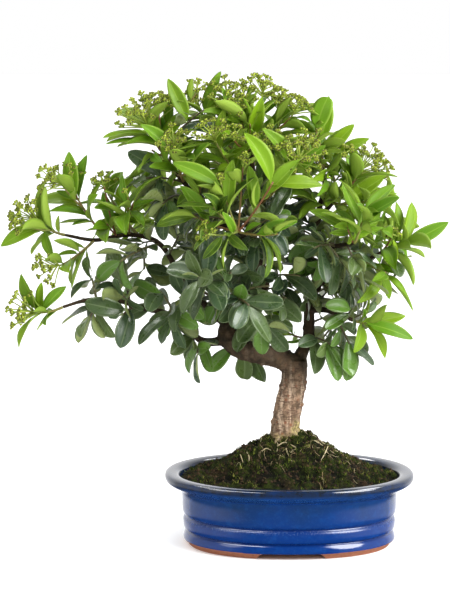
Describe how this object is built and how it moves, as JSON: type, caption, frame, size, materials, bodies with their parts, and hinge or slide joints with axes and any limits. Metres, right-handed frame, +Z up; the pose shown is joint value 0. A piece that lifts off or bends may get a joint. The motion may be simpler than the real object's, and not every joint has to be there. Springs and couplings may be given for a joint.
{
  "type": "firethorn bonsai",
  "caption": "Firethorn bonsai with a forked trunk, dark and bright green leaves and flat bud clusters, in a glazed oval pot on two feet.",
  "frame": {"origin": "under the middle of the bounding box, at the height that the pot's feet rest on", "axes": "+Z up, +X along the pot's length towards the side away from the long branches, +Y to the back"},
  "size_m": [0.4256, 0.296, 0.4528],
  "materials": {
    "pot": "gloss",
    "foot": "matte",
    "drain_mesh": "matte",
    "soil": "matte",
    "trunk": "matte",
    "old_leaf": "satin",
    "young_leaf": "satin",
    "bud": "satin"
  },
  "bodies": {
    "root": {"bud_cluster_01": "bud", "bud_cluster_06": "bud", "bud_cluster_07": "bud", "bud_cluster_08": "bud", "bud_cluster_09": "bud", "bud_cluster_12": "bud", "bud_cluster_13": "bud", "bud_cluster_15": "bud", "bud_cluster_16": "bud", "bud_cluster_17": "bud", "bud_cluster_18": "bud", "bud_cluster_19": "bud", "bud_cluster_22": "bud", "bud_cluster_37": "bud", "drain_mesh_left": "drain_mesh", "drain_mesh_right": "drain_mesh", "old_spray_02": "old_leaf", "old_spray_03": "old_leaf", "old_spray_04": "old_leaf", "old_spray_05": "old_leaf", "old_spray_10": "old_leaf", "old_spray_11": "old_leaf", "old_spray_14": "old_leaf", "old_spray_27": "old_leaf", "old_spray_28": "old_leaf", "old_spray_29": "old_leaf", "old_spray_31": "old_leaf", "old_spray_33": "old_leaf", "old_spray_34": "old_leaf", "old_spray_36": "old_leaf", "old_spray_40": "old_leaf", "old_spray_41": "old_leaf", "pot": "pot", "soil": "soil", "trunk": "trunk", "young_shoot_01": "young_leaf", "young_shoot_06": "young_leaf", "young_shoot_07": "young_leaf", "young_shoot_08": "young_leaf", "young_shoot_09": "young_leaf", "young_shoot_12": "young_leaf", "young_shoot_13": "young_leaf", "young_shoot_15": "young_leaf", "young_shoot_16": "young_leaf", "young_shoot_17": "young_leaf", "young_shoot_18": "young_leaf", "young_shoot_19": "young_leaf", "young_shoot_20": "young_leaf", "young_shoot_21": "young_leaf", "young_shoot_22": "young_leaf", "young_shoot_23": "young_leaf", "young_shoot_24": "young_leaf", "young_shoot_25": "young_leaf", "young_shoot_26": "young_leaf", "young_shoot_30": "young_leaf", "young_shoot_32": "young_leaf", "young_shoot_35": "young_leaf", "young_shoot_37": "young_leaf", "young_shoot_38": "young_leaf", "young_shoot_39": "young_leaf"}
  },
  "joints": []
}
